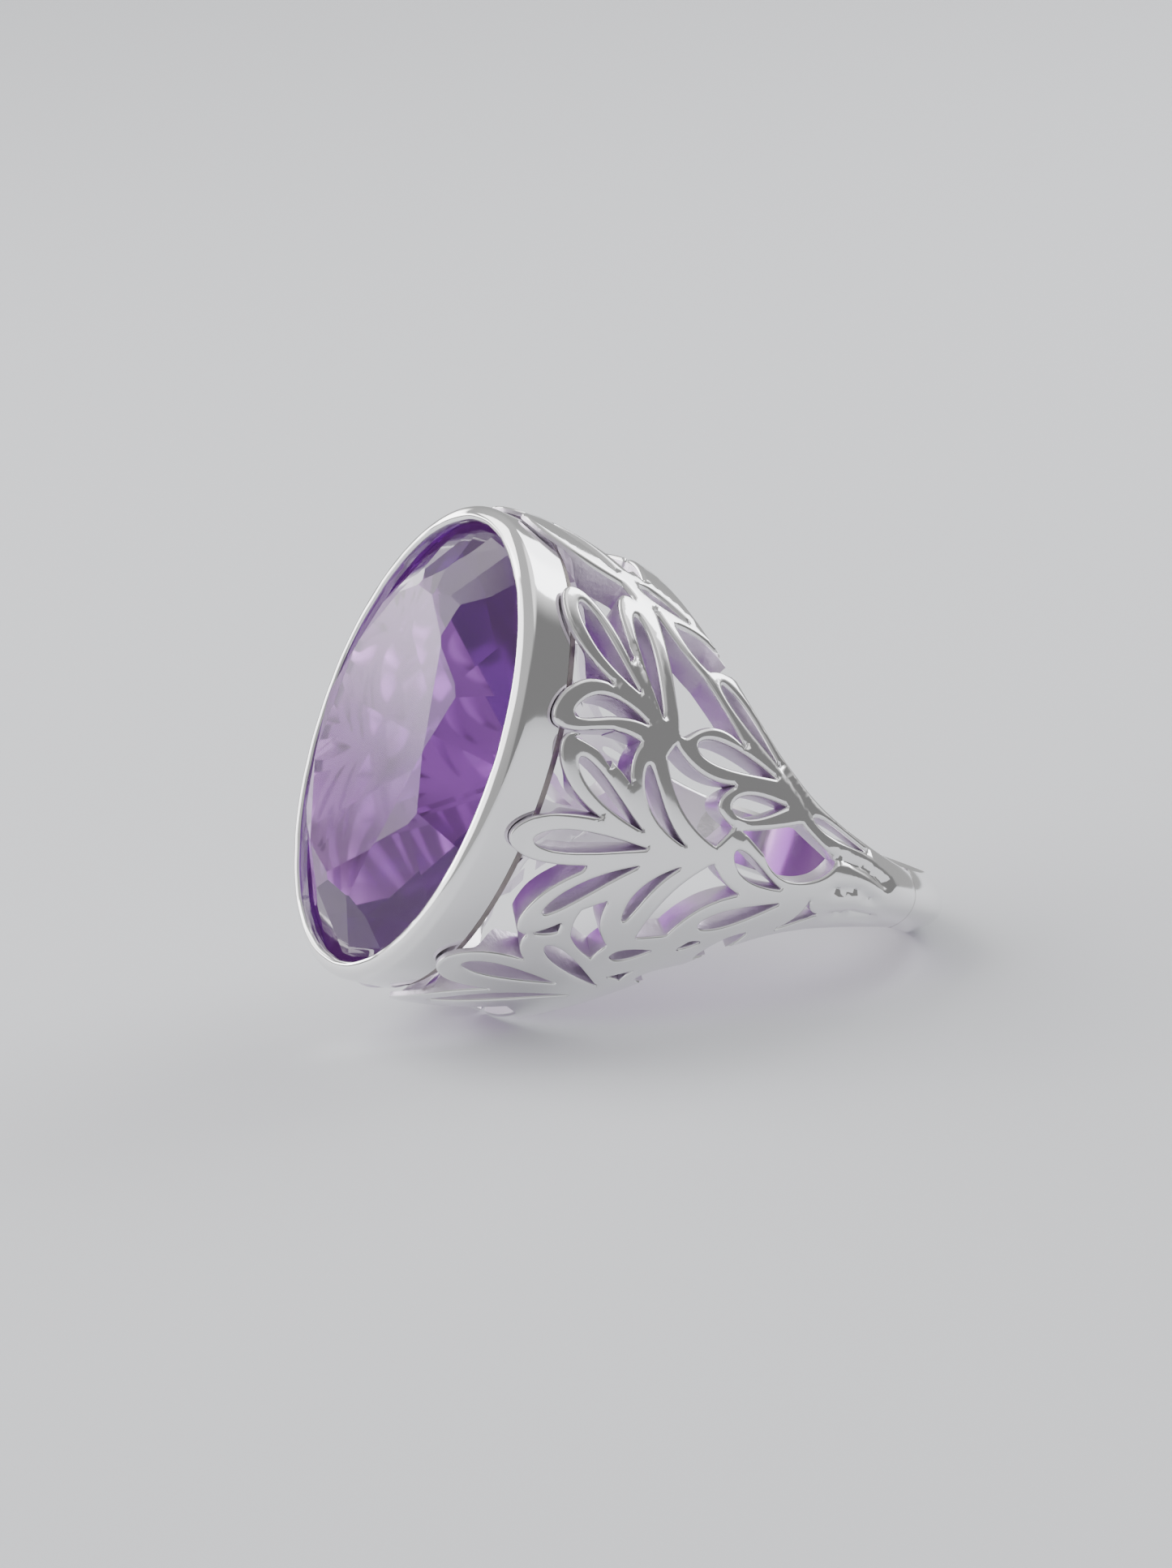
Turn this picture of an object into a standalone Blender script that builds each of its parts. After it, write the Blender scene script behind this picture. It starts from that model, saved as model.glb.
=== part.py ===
"""Cocktail ring: an oval amethyst in a bezel collet on openwork leaf shoulders.

The ring is modelled in its own frame, in millimetres: t runs across the hand,
a runs along the finger and u points from the finger's centre to the stone.
A root empty lays it down on its side, leaning on the lower edge of the
shoulders and on the back of the shank, with the stone facing -Y.
"""
import math

import bmesh
import bpy
import numpy as np
from mathutils import Matrix
from mathutils.geometry import delaunay_2d_cdt

MM = 0.001

# Pose of the ring on the table, degrees and millimetres.
TILT = 26.4
ROLL = 0.0
SHIFT_X = 0.0
SHIFT_Y = 5.2677
LIFT = 5.1074

# Finger hole and shank.
R_IN = 8.65
R_OUT = 9.9
R_RIM = 8.85
SHANK_K = 3.39

# Shoulders: the half width across the hand and along the finger by height u.
U_TOP = 14.5
T_TOP = 8.1
HALF_A = ((-9.9, 1.3), (-7.0, 1.75), (-3.5, 2.95), (0.0, 4.9), (3.5, 7.8), (6.5, 9.5),
          (9.5, 10.2), (12.5, 10.5), (14.5, 10.65), (16.0, 10.65))
P_END = 19.0
THICK = 1.35
THIN = 0.25
SHARE_A = 0.13
GAP = 0.05

# Stone. MAINS are the angles of its main facets, in degrees from across the hand.
STONE_T = 7.45
STONE_A = 9.9
GIRDLE_TOP = 15.9
GIRDLE_BASE = 15.45
GIRDLE_SIDES = 64
CROWN_H = 2.5
PAVILION_H = 5.9
TABLE_T = 0.568
TABLE_A = 0.65
STAR_W = 0.115
LOWER_R = 0.6
MAINS = (-163, -126, -90, -44, -1, 43, 70, 96, 119, 150)

# Sampling of the openwork.
SIDE_STEPS = 12
OUTLINE_TOL = 0.02
MAX_EDGE = 0.9
GRID = 1.1
SHARP = 30

# Openings with a leaf shape, on the unrolled shoulder (p down from the stone, v
# along the finger): tip, root, width, bow of the centre line.
HOLES = (
    ((0.35, 8.45), (3.35, 5.2), 0.95, -0.25),
    ((3.25, 8.8), (4.6, 4.4), 0.7, -0.1),
    ((0.4, 3.45), (3.9, 3.95), 0.9, 0.5),
    ((1.1, 1.7), (4.8, -0.42), 0.8, -0.15),
    ((0.25, -2.1), (5.3, -1.08), 0.95, 0.05),
    ((2.2, -5.1), (5.25, -1.87), 0.65, 0.25),
    ((5.7, -4.4), (7.05, -1.4), 0.5, 0.4),
    ((4.25, 2.25), (6.9, -0.5), 0.62, -0.45),
    ((6.4, 3.75), (10.45, 3.5), 1.0, 0.05),
    ((8.5, 1.65), (11.1, 2.45), 0.95, 0.0),
    ((9.2, -0.1), (11.8, -1.05), 0.8, -0.2),
    ((9.05, -3.7), (12.05, -1.65), 0.75, 0.0),
    ((0.5, -8.7), (5.0, -8.5), 0.85, 0.0),
    ((3.25, -6.6), (6.8, -8.15), 0.7, 0.0),
    ((1.2, -12.3), (6.1, -9.1), 0.75, 0.4),
    ((0.8, 13.95), (2.85, 11.3), 0.5, 0.0),
    ((3.95, 10.8), (6.3, 9.7), 0.7, 0.0),
    ((7.55, 6.9), (10.6, 4.1), 0.7, 0.0),
    ((12.6, 2.35), (15.7, 1.75), 0.55, -0.05),
    ((6.2, -6.3), (7.75, -5.4), 0.55, 0.0),
    ((8.2, -7.3), (9.7, -5.8), 0.6, 0.0),
)

# The leaves that reach the collet: the same four values for their outer edge.
LEAVES = (
    ((-0.75, 14.1), (4.6, 10.0), 2.7, 0.0),
    ((-0.3, 8.95), (4.2, 4.3), 2.15, -0.25),
    ((2.8, 9.8), (5.2, 3.9), 1.8, -0.1),
    ((-0.6, 3.2), (5.0, 3.6), 2.25, 0.8),
    ((0.2, 2.45), (5.4, -0.9), 1.95, -0.3),
    ((-0.85, -2.25), (7.5, -0.6), 2.25, 0.05),
    ((1.6, -6.2), (6.2, -0.9), 2.0, 0.35),
    ((2.1, -6.3), (7.6, -8.6), 2.0, 0.0),
    ((-0.5, -9.0), (7.0, -8.4), 2.45, 0.0),
    ((0.1, -13.5), (7.6, -8.4), 2.2, 0.5),
)

# The sheet the leaves grow from.
BODY = ((2.7, 10.9), (3.3, 9.9), (3.5, 8.0), (3.1, 7.0), (2.3, 5.0), (2.4, 3.5), (2.6, 1.5),
        (3.0, -0.5), (3.2, -1.6), (2.9, -2.8), (2.6, -4.6), (3.0, -6.2), (3.3, -7.6),
        (3.0, -9.3), (3.6, -10.6), (5.2, -11.8), (5.6, -14.9), (9.0, -14.9), (19.5, -5.0),
        (19.5, 5.0), (9.0, 14.9), (5.2, 14.9), (4.2, 12.2))

# Windows between the leaves: corners, each with the rise of the side leaving it.
WINDOWS = (
    ((0.65, 2.5, 0.35), (3.7, 3.15, -0.25), (3.68, 1.3, -0.25)),
    ((4.4, 9.6, -0.05), (5.2, 5.2, 0.03), (5.45, 4.0, -0.08), (5.8, 4.0, 0.6),
     (8.7, 4.4, 0.0), (6.6, 6.9, 0.2)),
    ((5.35, 3.45, 0.0), (5.05, 2.85, -0.55), (8.2, -0.1, 0.0), (8.75, 0.85, 0.8),
     (8.45, 2.6, 0.45)),
    ((9.3, 0.85, 0.0), (10.5, 0.15, -0.2), (12.0, -0.6, -0.35), (13.95, 0.85, 0.05),
     (11.95, 1.9, 0.05)),
    ((8.4, -0.87, -0.5), (6.7, -5.0, 0.0), (7.9, -4.5, 0.4), (10.05, -1.8, 0.15)),
    ((4.62, -3.72, 0.0), (3.75, -4.45, -0.12), (4.0, -5.8, -0.1), (5.46, -6.6, 0.05),
     (5.7, -5.75, 0.35)),
    ((13.3, -1.1, -0.2), (14.0, -1.7, 0.0), (12.6, -2.9, -0.2)),
    ((5.4, 9.15, -0.25), (6.9, 7.35, 0.15), (8.4, 7.5, -0.6)),
    ((2.35, -6.1, -0.05), (3.2, -5.3, 0.0), (3.3, -5.75, 0.08)),
    ((6.8, -7.4, -0.05), (7.65, -6.7, -0.05), (7.5, -7.5, -0.05)),
    ((8.8, -5.05, -0.05), (9.6, -4.4, -0.05), (9.1, -4.55, 0.0)),
    ((9.9, -5.3, -0.35), (11.4, -3.4, -0.25)),
    ((2.2, 15.2, 0.0), (4.4, 11.4, 0.0), (5.4, 15.2, 0.0)),
    ((1.4, -15.2, 0.0), (4.4, -12.3, 0.0), (5.6, -15.2, 0.0)),
)


# ---- the shoulder's surface ------------------------------------------------

def hermite(table, x):
    """Monotone cubic through a table of (x, y)."""
    xs = np.array([q[0] for q in table])
    ys = np.array([q[1] for q in table])
    h = np.diff(xs)
    d = np.diff(ys) / h
    m = np.zeros(len(xs))
    for i in range(1, len(xs) - 1):
        if d[i - 1] * d[i] > 0:
            w1 = 2 * h[i] + h[i - 1]
            w2 = h[i] + 2 * h[i - 1]
            m[i] = (w1 + w2) / (w1 / d[i - 1] + w2 / d[i])
    m[0] = d[0]
    m[-1] = d[-1]
    x = np.clip(x, xs[0], xs[-1])
    i = np.clip(np.searchsorted(xs, x) - 1, 0, len(h) - 1)
    s = (x - xs[i]) / h[i]
    return ((1 + 2 * s) * (1 - s) ** 2 * ys[i] + s * (1 - s) ** 2 * h[i] * m[i]
            + s * s * (3 - 2 * s) * ys[i + 1] + s * s * (s - 1) * h[i] * m[i + 1])


TANGENT = math.atan2(T_TOP, U_TOP) + math.acos(R_OUT / math.hypot(T_TOP, U_TOP))
T_TAN = R_OUT * math.sin(TANGENT)
U_TAN = R_OUT * math.cos(TANGENT)
RUN = math.hypot(T_TOP - T_TAN, U_TOP - U_TAN)


def spine(p):
    """Side outline of the ring: a straight run from the collet, then the hoop."""
    p = np.asarray(p, float)
    a0 = math.atan2(U_TAN, T_TAN)
    ang = a0 - (p - RUN) / R_OUT
    f = p / RUN
    straight = p < RUN
    t = np.where(straight, T_TOP + (T_TAN - T_TOP) * np.maximum(f, 0), R_OUT * np.cos(ang))
    u = np.where(straight, U_TOP + (U_TAN - U_TOP) * f, R_OUT * np.sin(ang))
    u = np.where(p < 0, U_TOP - p, u)
    nt = np.where(straight, (U_TOP - U_TAN) / RUN, np.cos(ang))
    nu = np.where(straight, (T_TAN - T_TOP) / RUN, np.sin(ang))
    return t, u, nt, nu


def smooth(x):
    x = np.clip(x, 0.0, 1.0)
    return x * x * (3 - 2 * x)


def arc_table(t, a, top=math.pi / 2, n=181):
    """Angles and the arc length up to each, for quarter ellipses (t, a)."""
    q = np.linspace(0, 1, n)[None, :] * np.broadcast_to(top, t.shape)[:, None]
    g = np.sqrt((t[:, None] * np.sin(q)) ** 2 + (a[:, None] * np.cos(q)) ** 2)
    s = np.zeros_like(g)
    s[:, 1:] = np.cumsum((g[:, 1:] + g[:, :-1]) / 2 * np.diff(q, axis=1), axis=1)
    return q, s


def shell(pts):
    """Outer and inner points of the shoulder for points of the unrolled sheet."""
    pts = np.asarray(pts, float)
    p = pts[:, 0]
    v = pts[:, 1]
    t, u, nt, nu = spine(p)
    a = hermite(HALF_A, u)
    q, s = arc_table(t, a)
    psi = np.array([np.interp(abs(v[i]), s[i], q[i]) for i in range(len(v))])
    psi = np.minimum(psi, np.arccos(0.5 * GAP / t))
    c = np.cos(psi)
    z = np.sin(psi) * np.sign(v)
    outer = np.stack([t * c, a * z, u], axis=1)
    share = (THIN + (THICK - THIN) * smooth((p - 0.45) / 1.1)) / THICK
    ti = t * c - THICK * share * nt * c
    ui = u - THICK * share * nu * c
    ai = a * z * (1 - SHARE_A * share)
    r = np.hypot(ti, ui)
    k = np.where(r < R_IN, R_IN / np.maximum(r, 1e-9), 1.0)
    ti = np.maximum(ti * k, 0.5 * GAP)
    inner = np.stack([ti, ai, ui * k], axis=1)
    return outer, inner


def edge_v(p):
    """Half height of the unrolled sheet at p: the other shoulder or the finger hole."""
    p = np.asarray(p, float)
    t, u, nt, nu = spine(p)
    a = hermite(HALF_A, u)
    c = np.where(np.abs(u) < R_RIM, np.sqrt(np.maximum(R_RIM ** 2 - u * u, 0)) / t, 0)
    c = np.maximum(np.minimum(c, 1.0), 0.5 * GAP / t)
    q, s = arc_table(t, a, np.arccos(c))
    return s[:, -1]


# ---- outlines on the unrolled sheet ----------------------------------------

def leaf_width(f):
    """Half width of a leaf along its length: round at the tip, pointed at the root."""
    if f < 0.3:
        g = 1 - f / 0.3
        return math.sqrt(max(0.0, 1 - g * g))
    g = (f - 0.3) / 0.7
    return (1 - g) ** 0.85 * (1 + 0.85 * g * (1 - g))


def leaf_outline(leaf, steps):
    tip, root, width, bow = leaf
    dx = root[0] - tip[0]
    dy = root[1] - tip[1]
    long = math.hypot(dx, dy)
    nx = -dy / long
    ny = dx / long
    left = []
    right = []
    for k in range(steps + 1):
        f = 0.5 - 0.5 * math.cos(math.pi * k / steps)
        w = width / 2 * leaf_width(f)
        o = bow * 4 * f * (1 - f)
        x = tip[0] + dx * f
        y = tip[1] + dy * f
        left.append((x + nx * (o + w), y + ny * (o + w)))
        right.append((x + nx * (o - w), y + ny * (o - w)))
    return left + right[-2:0:-1]


def window_outline(corners, steps):
    out = []
    for i, (x, y, rise) in enumerate(corners):
        x2, y2, _ = corners[(i + 1) % len(corners)]
        dx = x2 - x
        dy = y2 - y
        long = math.hypot(dx, dy)
        n = steps if abs(rise) > 0.02 else 1
        for k in range(n):
            f = k / n
            o = rise * 4 * f * (1 - f) / long
            out.append((x + dx * f - dy * o, y + dy * f + dx * o))
    return out


def sheet_outline():
    p = np.concatenate([np.arange(-1.3, 5.6, 0.6), np.arange(5.7, 8.0, 0.12),
                        np.arange(8.1, P_END - 0.2, 0.4), [P_END]])
    v = edge_v(p)
    up = list(zip(p, v))
    down = list(zip(p[::-1], -v[::-1]))
    return [(float(x), float(y)) for x, y in down + up]


def inside(pts, poly):
    """Even-odd test of many points against one polygon."""
    pts = np.asarray(pts, float)
    q = np.asarray(poly, float)
    x1, y1 = q[:, 0], q[:, 1]
    x2, y2 = np.roll(x1, -1), np.roll(y1, -1)
    px, py = pts[:, 0:1], pts[:, 1:2]
    cross = (y1 > py) != (y2 > py)
    dy = np.where(y2 == y1, 1e-12, y2 - y1)
    hit = px < (x2 - x1) * (py - y1) / dy + x1
    return (cross & hit).sum(axis=1) % 2 == 1


def triangulate(pts, polys):
    verts = list(pts)
    edges = []
    for poly in polys:
        n0 = len(verts)
        verts += list(poly)
        n = len(poly)
        edges += [(n0 + i, n0 + (i + 1) % n) for i in range(n)]
    res = delaunay_2d_cdt(verts, edges, [], 0, 1e-5, False)
    xy = np.array([(q[0], q[1]) for q in res[0]])
    tri = np.array([f for f in res[2] if len(f) == 3], int)
    a, b, c = xy[tri[:, 0]], xy[tri[:, 1]], xy[tri[:, 2]]
    area = (b[:, 0] - a[:, 0]) * (c[:, 1] - a[:, 1]) - (b[:, 1] - a[:, 1]) * (c[:, 0] - a[:, 0])
    tri[area < 0] = tri[area < 0][:, ::-1]
    tri = tri[np.abs(area) > 1e-9]
    mid = (xy[tri[:, 0]] + xy[tri[:, 1]] + xy[tri[:, 2]]) / 3
    return xy, tri, mid


def border(tri):
    """Directed edges with metal on their left, from the kept triangles."""
    seen = {}
    for f in tri:
        for i in range(3):
            seen[(f[i], f[(i + 1) % 3])] = True
    return [e for e in seen if (e[1], e[0]) not in seen]


def loops_of(xy, tri):
    out = {}
    for a, b in border(tri):
        out.setdefault(a, []).append(b)
    loops = []
    while out:
        start = min(out)
        path = [start]
        cur = out[start].pop(0)
        if not out[start]:
            del out[start]
        prev = start
        while cur != start:
            path.append(cur)
            nxt = out[cur]
            back = math.atan2(*(xy[prev] - xy[cur])[::-1])
            turn = [(back - math.atan2(*(xy[n] - xy[cur])[::-1])) % (2 * math.pi) for n in nxt]
            k = int(np.argmin(turn))
            prev = cur
            cur = nxt.pop(k)
            if not nxt:
                del out[prev]
        loops.append([tuple(xy[i]) for i in path])
    return loops


def area_of(poly):
    q = np.asarray(poly)
    n = np.roll(q, -1, axis=0)
    return 0.5 * float(np.sum(q[:, 0] * n[:, 1] - q[:, 1] * n[:, 0]))


def simplify(line, tol):
    """Douglas-Peucker on an open line."""
    if len(line) < 3:
        return line
    a = np.array(line[0])
    b = np.array(line[-1])
    q = np.array(line[1:-1])
    d = b - a
    n = math.hypot(*d)
    if n < 1e-9:
        dist = np.hypot(*(q - a).T)
    else:
        dist = np.abs(d[0] * (q[:, 1] - a[1]) - d[1] * (q[:, 0] - a[0])) / n
    k = int(np.argmax(dist))
    if dist[k] <= tol:
        return [line[0], line[-1]]
    return simplify(line[:k + 2], tol)[:-1] + simplify(line[k + 1:], tol)


def tidy_loop(loop, tol, longest):
    """Merge near points, drop the ones a straight side doesn't need, split long sides."""
    keep = []
    for q in loop:
        if not keep or math.dist(q, keep[-1]) > 0.04:
            keep.append(q)
    while len(keep) > 3 and math.dist(keep[0], keep[-1]) < 0.04:
        keep.pop()
    c = np.mean(keep, axis=0)
    k = int(np.argmax([math.dist(q, c) for q in keep]))
    keep = keep[k:] + keep[:k] + [keep[k]]
    half = len(keep) // 2
    line = simplify(keep[:half + 1], tol)[:-1] + simplify(keep[half:], tol)[:-1]
    out = []
    for i, q in enumerate(line):
        r = line[(i + 1) % len(line)]
        n = max(1, math.ceil(math.dist(q, r) / longest))
        out += [(q[0] + (r[0] - q[0]) * j / n, q[1] + (r[1] - q[1]) * j / n) for j in range(n)]
    return out


def metal_loops(steps, tol, longest):
    """Outlines of the pierced sheet: one outer loop and one for each opening."""
    sheet = sheet_outline()
    leaves = [leaf_outline(q, steps) for q in LEAVES]
    holes = [leaf_outline(q, steps) for q in HOLES]
    holes += [window_outline(q, steps // 2 + 1) for q in WINDOWS]
    xy, tri, mid = triangulate([], [sheet, list(BODY)] + leaves + holes)
    keep = inside(mid, BODY)
    for q in leaves:
        keep |= inside(mid, q)
    keep &= inside(mid, sheet)
    for q in holes:
        keep &= ~inside(mid, q)
    loops = loops_of(xy, tri[keep])
    loops = [tidy_loop(q, tol, longest) for q in loops if abs(area_of(q)) > 0.03]
    outer = max(loops, key=area_of)
    return [outer] + [q for q in loops if area_of(q) < 0]


def spread(loops, spacing):
    """Points on a triangular grid inside the metal, clear of its edges."""
    q = np.array(loops[0])
    lo = q.min(axis=0)
    hi = q.max(axis=0)
    pts = []
    for j in range(int((hi[1] - lo[1]) / (spacing * 0.866)) + 1):
        for i in range(int((hi[0] - lo[0]) / spacing) + 1):
            pts.append((lo[0] + (i + 0.5 * (j % 2)) * spacing, lo[1] + j * spacing * 0.866))
    pts = np.array(pts)
    keep = inside(pts, loops[0])
    for hole in loops[1:]:
        keep &= ~inside(pts, hole)
    pts = pts[keep]
    for loop in loops:
        a = np.array(loop)
        b = np.roll(a, -1, axis=0)
        d = b - a
        w = pts[:, None, :] - a[None]
        f = np.clip((w * d).sum(axis=2) / (d * d).sum(axis=1), 0, 1)
        near = np.linalg.norm(w - f[:, :, None] * d, axis=2).min(axis=1)
        pts = pts[near > 0.4 * spacing]
    return [tuple(map(float, q)) for q in pts]


# ---- solids ----------------------------------------------------------------

def shoulder_solid():
    loops = metal_loops(SIDE_STEPS, OUTLINE_TOL, MAX_EDGE)
    xy, tri, mid = triangulate(spread(loops, GRID), loops)
    keep = inside(mid, loops[0])
    for hole in loops[1:]:
        keep &= ~inside(mid, hole)
    tri = tri[keep]
    used = sorted(set(tri.ravel().tolist()))
    index = {v: i for i, v in enumerate(used)}
    outer, inner = shell(xy[used])
    n = len(used)
    faces = [tuple(index[v] for v in f) for f in tri]
    under = [tuple(n + index[v] for v in f[::-1]) for f in tri]
    walls = []
    for a, b in border(tri):
        i = index[a]
        j = index[b]
        walls.append((j, i, n + i))
        walls.append((j, n + i, n + j))
    verts = [tuple(q) for q in outer] + [tuple(q) for q in inner]
    return verts, faces + under + walls


def mirrored(solid):
    verts, faces = solid
    return [(-x, y, z) for x, y, z in verts], [tuple(f[::-1]) for f in faces]


def ring_solid(section, count, start=0.0, stop=2 * math.pi):
    """A section of (a, t, u) half widths carried round an ellipse."""
    closed = abs(stop - start - 2 * math.pi) < 1e-9
    n = len(section)
    steps = count if closed else count + 1
    verts = []
    for k in range(steps):
        psi = start + (stop - start) * k / count
        for a, t, u in section:
            verts.append((t * math.cos(psi), a * math.sin(psi), u))
    faces = []
    for k in range(count):
        k2 = (k + 1) % steps
        for i in range(n):
            j = (i + 1) % n
            faces.append((k * n + i, k2 * n + i, k2 * n + j, k * n + j))
    if not closed:
        faces.append(tuple(range(n)))
        faces.append(tuple((steps - 1) * n + i for i in reversed(range(n))))
    return verts, faces


def table_reach(angle):
    """How far out the table's edge lies, as a share of the outline, by angle."""
    return TABLE_T + (TABLE_A - TABLE_T) * math.sin(math.radians(angle)) ** 4


def facet_planes():
    """Planes of every facet on the unit circle: (angle, steepness, distance) up and down."""
    up = []
    down = []
    for k, main in enumerate(MAINS):
        step = (MAINS[(k + 1) % len(MAINS)] - main) % 360
        half = math.cos(math.radians(step / 2))
        quarter = math.cos(math.radians(step / 4))
        middle = table_reach(main + step / 2)
        star = middle + STAR_W
        star_h = CROWN_H * (1 - star * half) / (1 - middle)
        lean = (star - middle * half) / (CROWN_H - star_h)
        up.append((main, (1 - table_reach(main)) / CROWN_H, 1.0))
        up.append((main + step / 2, lean, star + lean * star_h))
        low_h = PAVILION_H * (1 - LOWER_R * half)
        down.append((main, 1 / PAVILION_H, 1.0))
        for angle in (main + step / 4, main + 0.75 * step):
            up.append((angle, quarter * (1 - star) / star_h, quarter))
            down.append((angle, quarter * (1 - LOWER_R) / low_h, quarter))
    return up, down


def slice_off(bm, point, normal):
    """Cut away what lies beyond a plane and close the cut with one flat facet."""
    geom = bm.verts[:] + bm.edges[:] + bm.faces[:]
    cut = bmesh.ops.bisect_plane(bm, geom=geom, dist=1e-5, plane_co=point,
                                 plane_no=normal, clear_outer=True)
    edges = [e for e in cut["geom_cut"] if isinstance(e, bmesh.types.BMEdge)]
    if len(edges) > 2:
        bmesh.ops.holes_fill(bm, edges=edges)


def stone_solid():
    """An oval mixed cut: an elliptic blank with every facet sliced off in turn."""
    bm = bmesh.new()
    bmesh.ops.create_cone(bm, cap_ends=True, segments=GIRDLE_SIDES, radius1=1, radius2=1,
                          depth=14)
    for v in bm.verts:
        v.co = (v.co.x * STONE_T, v.co.y * STONE_A, v.co.z + 0.5 * (GIRDLE_TOP + GIRDLE_BASE))
    slice_off(bm, (0, 0, GIRDLE_TOP + CROWN_H), (0, 0, 1))
    up, down = facet_planes()
    for planes, base, sign in ((up, GIRDLE_TOP, 1), (down, GIRDLE_BASE, -1)):
        for angle, steep, reach in planes:
            c = math.cos(math.radians(angle))
            s = math.sin(math.radians(angle))
            slice_off(bm, (reach * c * STONE_T, reach * s * STONE_A, base),
                      (c / STONE_T, s / STONE_A, sign * steep))
    bmesh.ops.remove_doubles(bm, verts=bm.verts[:], dist=0.02)
    bmesh.ops.recalc_face_normals(bm, faces=bm.faces[:])
    verts = [tuple(v.co) for v in bm.verts]
    faces = [tuple(v.index for v in f.verts) for f in bm.faces]
    bm.free()
    return verts, faces


def hoop_section(inset):
    """D-section of the shank: (radius, a), with the finger side flat."""
    wide = math.sqrt(R_OUT ** 2 - R_RIM ** 2) / SHANK_K
    out = []
    for k in range(-4, 5):
        a = wide * math.sin(math.radians(22.5 * k))
        out.append((math.sqrt(R_OUT ** 2 - (SHANK_K * a) ** 2) - inset, a * (1 - inset / 2)))
    out.append((R_IN + inset, wide * (1 - SHARE_A) - inset / 2))
    out.append((R_IN + inset, -wide * (1 - SHARE_A) + inset / 2))
    return out


def hoop_piece(u_start, u_stop, steps, inset, full):
    """Shank between two level planes, or round the back to the mirrored plane."""
    section = hoop_section(inset)
    n = len(section)
    verts = []
    for k in range(steps + 1):
        f = k / steps
        for r, a in section:
            first = math.asin(u_start / r)
            last = -math.pi - first if full else math.asin(u_stop / r)
            ang = first + (last - first) * f
            verts.append((r * math.cos(ang), a, r * math.sin(ang)))
    faces = []
    for k in range(steps):
        for i in range(n):
            j = (i + 1) % n
            faces.append((k * n + i, k * n + j, (k + 1) * n + j, (k + 1) * n + i))
    faces.append(tuple(reversed(range(n))))
    faces.append(tuple(steps * n + i for i in range(n)))
    return verts, faces


COLLET = ((10.25, 7.75, 14.5), (10.33, 7.83, 15.6), (10.36, 7.86, 16.2), (10.34, 7.85, 16.42),
          (10.24, 7.75, 16.62), (10.02, 7.53, 16.79), (9.85, 7.36, 16.85), (9.72, 7.23, 16.82),
          (9.62, 7.14, 16.64), (9.6, 7.12, 16.36), (9.95, 7.5, 16.12), (9.95, 7.5, 14.5))
BEARING = ((9.9, 7.45, 14.55), (9.9, 7.45, 15.28), (9.15, 6.75, 14.76), (9.15, 6.75, 14.55))
SEAM = ((10.2, 7.7, 14.45), (9.98, 7.48, 14.45), (9.98, 7.48, 14.2), (10.08, 7.58, 14.12))


# ---- objects ---------------------------------------------------------------

def make_material(name, colour, metallic, rough, clear=0.0):
    mat = bpy.data.materials.new(name)
    mat.use_nodes = True
    bsdf = mat.node_tree.nodes["Principled BSDF"]
    bsdf.inputs["Base Color"].default_value = (*colour, 1.0)
    bsdf.inputs["Metallic"].default_value = metallic
    bsdf.inputs["Roughness"].default_value = rough
    bsdf.inputs["Transmission Weight"].default_value = clear
    mat.diffuse_color = (*colour, 1.0)
    return mat


def outward(verts, faces):
    """Reverse the faces if the solid's volume comes out negative."""
    total = 0.0
    q = np.array(verts)
    for f in faces:
        for i in range(1, len(f) - 1):
            total += float(np.dot(q[f[0]], np.cross(q[f[i]], q[f[i + 1]])))
    return faces if total > 0 else [tuple(f[::-1]) for f in faces]


def make_object(name, solid, mat, parent):
    verts, faces = solid
    mesh = bpy.data.meshes.new(name)
    mesh.from_pydata([(x * MM, y * MM, z * MM) for x, y, z in verts], [],
                     outward(verts, faces))
    mesh.update()
    mesh.shade_smooth()
    mesh.set_sharp_from_angle(angle=math.radians(SHARP))
    mesh.materials.append(mat)
    obj = bpy.data.objects.new(name, mesh)
    bpy.context.scene.collection.objects.link(obj)
    obj.parent = parent
    return obj


def main():
    for obj in list(bpy.data.objects):
        bpy.data.objects.remove(obj, do_unlink=True)
    root = bpy.data.objects.new("ring_frame", None)
    bpy.context.scene.collection.objects.link(root)
    root.matrix_world = (Matrix.Translation((SHIFT_X * MM, SHIFT_Y * MM, LIFT * MM))
                         @ Matrix.Rotation(math.radians(ROLL), 4, "Y")
                         @ Matrix.Rotation(math.radians(90 - TILT), 4, "X"))
    silver = (0.83, 0.83, 0.84)
    make_object("amethyst", stone_solid(),
                make_material("amethyst", (0.22, 0.07, 0.36), 0.0, 0.03, 0.6), root)
    make_object("bezel_collet", ring_solid(COLLET, 80),
                make_material("collet_metal", silver, 1.0, 0.12), root)
    make_object("bezel_bearing", ring_solid(BEARING, 64),
                make_material("bearing_metal", silver, 1.0, 0.3), root)
    right = shoulder_solid()
    make_object("shoulder_right", right,
                make_material("shoulder_right_metal", silver, 1.0, 0.16), root)
    make_object("shoulder_left", mirrored(right),
                make_material("shoulder_left_metal", silver, 1.0, 0.16), root)
    u_end = float(spine(P_END)[1])
    make_object("shank_back", hoop_piece(u_end - 0.2, 0, 30, 0.0, True),
                make_material("shank_metal", silver, 1.0, 0.14), root)
    weld = hoop_piece(u_end - 0.04, u_end - 0.16, 1, 0.03, False)
    seam = ring_solid(SEAM, 40, math.radians(-85), math.radians(85))
    solder = (0.62, 0.61, 0.6)
    make_object("collet_solder_right", seam,
                make_material("collet_solder_right", solder, 1.0, 0.45), root)
    make_object("collet_solder_left", mirrored(seam),
                make_material("collet_solder_left", solder, 1.0, 0.45), root)
    make_object("shank_solder_right", weld,
                make_material("shank_solder_right", solder, 1.0, 0.4), root)
    make_object("shank_solder_left", mirrored(weld),
                make_material("shank_solder_left", solder, 1.0, 0.4), root)


main()
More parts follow.
